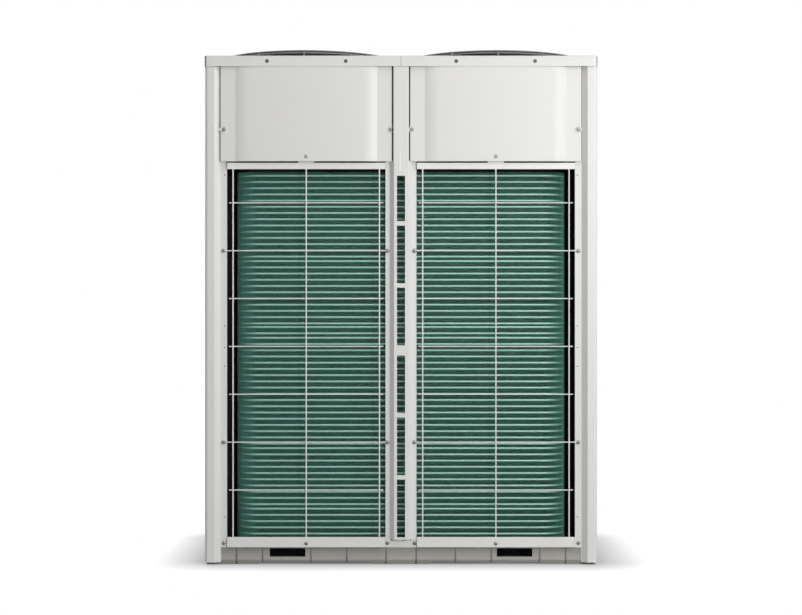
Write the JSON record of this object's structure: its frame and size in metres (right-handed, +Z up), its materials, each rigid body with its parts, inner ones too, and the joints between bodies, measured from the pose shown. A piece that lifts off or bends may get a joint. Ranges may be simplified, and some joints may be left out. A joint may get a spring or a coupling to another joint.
{
  "type": "air conditioner outdoor unit",
  "caption": "Top-discharge twin-fan outdoor unit of an air conditioner: sheet-metal cabinet round a finned coil with wire guards, fan guards on top and a base with lifting slots.",
  "frame": {"origin": "on the ground under the middle of the cabinet", "axes": "+Z up; -Y out of the coil side with the ladder column, +Y out of the service side; +X to the right as the coil side is seen"},
  "size_m": [1.29, 0.765, 1.7],
  "materials": {
    "cabinet_paint": "satin powder coat",
    "base_paint": "satin grey coat",
    "guard_coat": "dipped plastic coat",
    "dark_wire": "satin dark grey coat",
    "black_moulding": "fine moulded grain",
    "coil_fins": "green coated fins",
    "galvanised": "zinc coated",
    "motor_paint": "matt black"
  },
  "bodies": {
    "root": {"base_pan": "galvanised", "front_base_rail": "base_paint", "front_column": "cabinet_paint", "front_cross_rail": "galvanised", "front_left_post": "cabinet_paint", "front_left_service_panel": "cabinet_paint", "front_left_upper_panel": "cabinet_paint", "front_right_post": "cabinet_paint", "front_right_service_panel": "cabinet_paint", "front_right_upper_panel": "cabinet_paint", "left_base_rail": "base_paint", "left_bell_mouth": "black_moulding", "left_cross_rail": "galvanised", "left_fan": "black_moulding", "left_fan_guard": "dark_wire", "left_fan_motor": "motor_paint", "left_guard_rim": "dark_wire", "left_motor_bracket": "galvanised", "left_top_cover": "cabinet_paint", "left_upper_panel": "cabinet_paint", "left_wire_guard": "guard_coat", "lower_coil": "coil_fins", "rear_base_rail": "base_paint", "rear_column": "cabinet_paint", "rear_cross_rail": "galvanised", "rear_left_post": "cabinet_paint", "rear_left_upper_panel": "cabinet_paint", "rear_left_wire_guard": "guard_coat", "rear_right_post": "cabinet_paint", "rear_right_upper_panel": "cabinet_paint", "rear_right_wire_guard": "guard_coat", "right_base_rail": "base_paint", "right_bell_mouth": "black_moulding", "right_cross_rail": "galvanised", "right_fan": "black_moulding", "right_fan_guard": "dark_wire", "right_fan_motor": "motor_paint", "right_guard_rim": "dark_wire", "right_motor_bracket": "galvanised", "right_top_cover": "cabinet_paint", "right_upper_panel": "cabinet_paint", "right_wire_guard": "guard_coat", "upper_coil": "coil_fins"}
  },
  "joints": []
}
